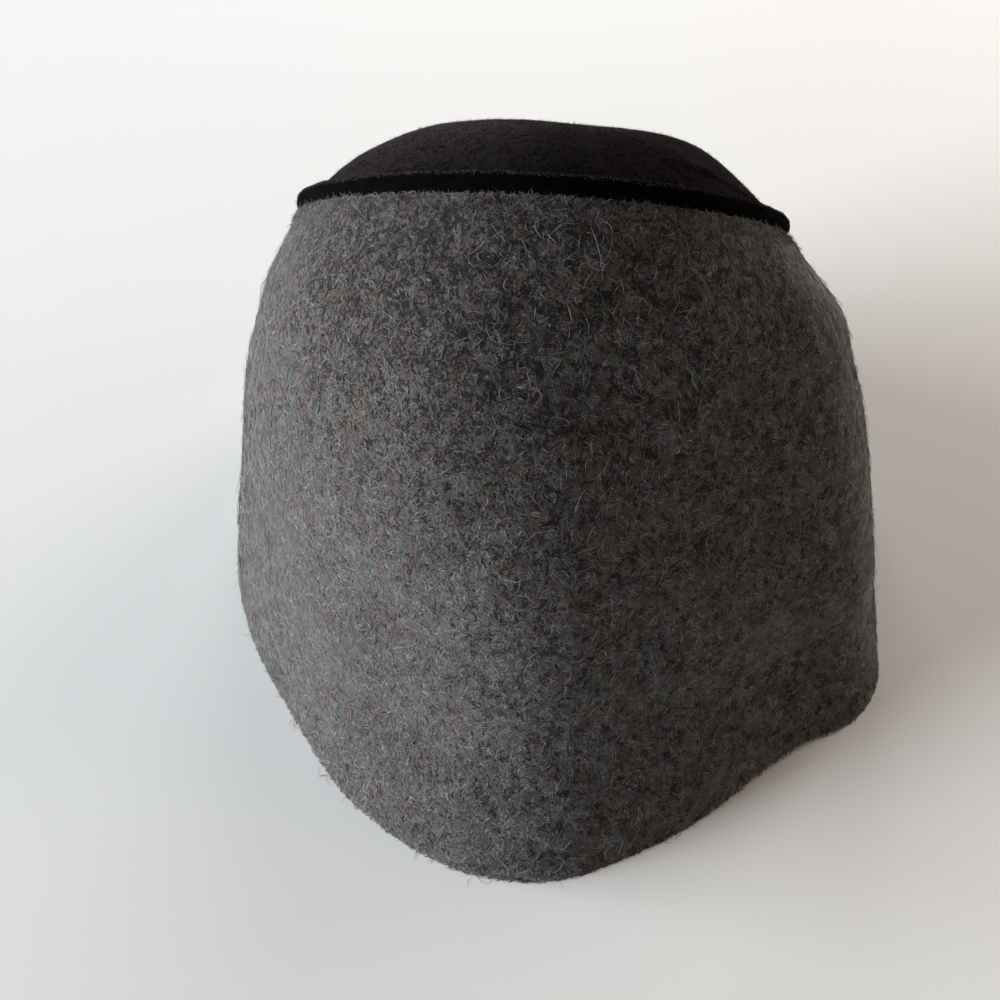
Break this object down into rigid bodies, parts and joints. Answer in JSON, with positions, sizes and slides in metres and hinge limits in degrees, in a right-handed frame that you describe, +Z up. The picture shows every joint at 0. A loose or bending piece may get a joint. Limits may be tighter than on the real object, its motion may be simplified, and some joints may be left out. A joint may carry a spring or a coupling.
{
  "type": "felt hat",
  "caption": "Soft brimless felt hat with a pointed, flared hem at the front and a slanting black crown tip behind a raised edge; worn on the head.",
  "frame": {"origin": "middle of the hem's box, on the surface that the hem stands on", "axes": "-Y towards the pointed front, +X to the right in the picture, +Z up"},
  "size_m": [0.217, 0.2296, 0.1536],
  "materials": {
    "grey_felt": "heathered long-hair wool felt, matt",
    "black_felt": "fine black wool felt, matt",
    "black_edging": "black wool felt, rolled edge, matt"
  },
  "bodies": {
    "root": {"felt_body": "grey_felt", "crown_edge": "black_edging", "crown_tip": "black_felt"}
  },
  "joints": []
}
